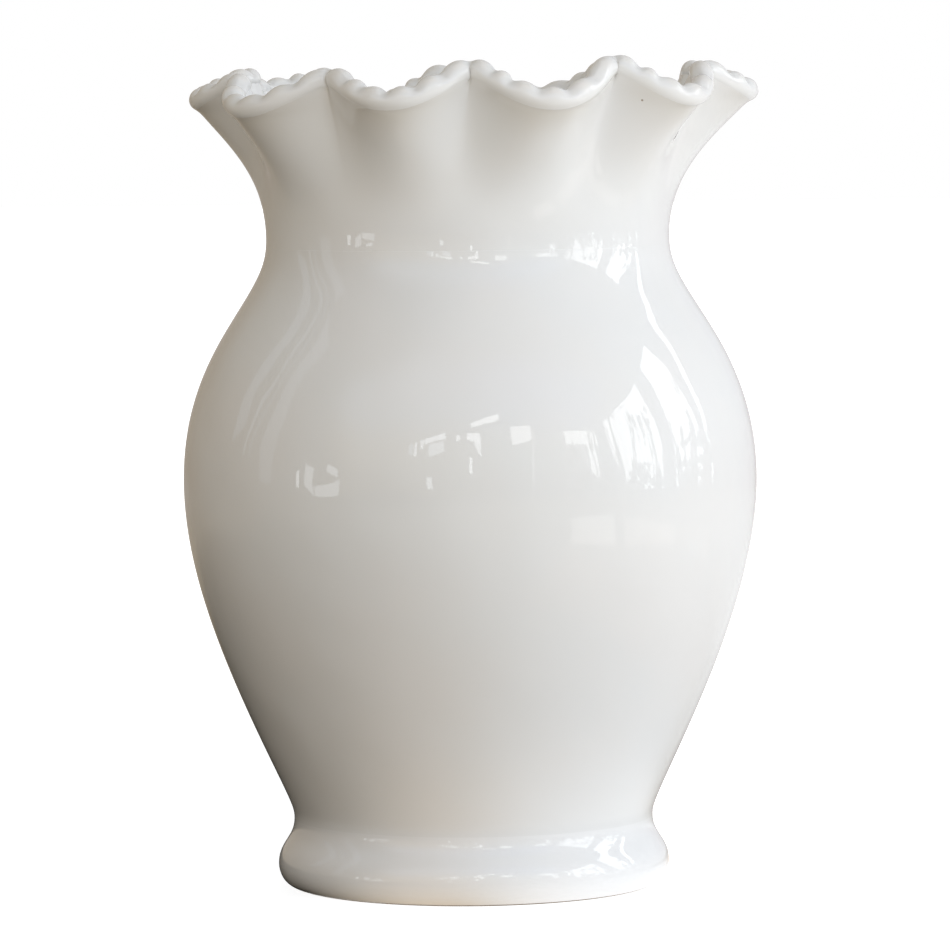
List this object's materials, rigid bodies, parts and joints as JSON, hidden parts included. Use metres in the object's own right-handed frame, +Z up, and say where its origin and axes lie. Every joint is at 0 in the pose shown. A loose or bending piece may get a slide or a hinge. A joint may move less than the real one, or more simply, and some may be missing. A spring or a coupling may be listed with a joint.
{
  "type": "ruffled urn vase",
  "caption": "Glazed ceramic urn vase on a flared foot, with a full belly, a narrow neck and a flared, ruffled rim with a beaded edge.",
  "frame": {"origin": "centre of the foot ring, on the surface that the vase stands on", "axes": "+Z up along the vase's axis, -Y towards the side that the picture shows"},
  "size_m": [0.1775, 0.1766, 0.2543],
  "materials": {
    "foot_glaze": "glossy white glaze, bare clay on the standing edge",
    "body_glaze": "glossy white glaze",
    "collar_glaze": "glossy white glaze",
    "edging_glaze": "glossy white glaze, thinner on the beads' crests"
  },
  "bodies": {
    "root": {"foot_ring": "foot_glaze", "body": "body_glaze", "collar": "collar_glaze", "beaded_edging": "edging_glaze"}
  },
  "joints": []
}
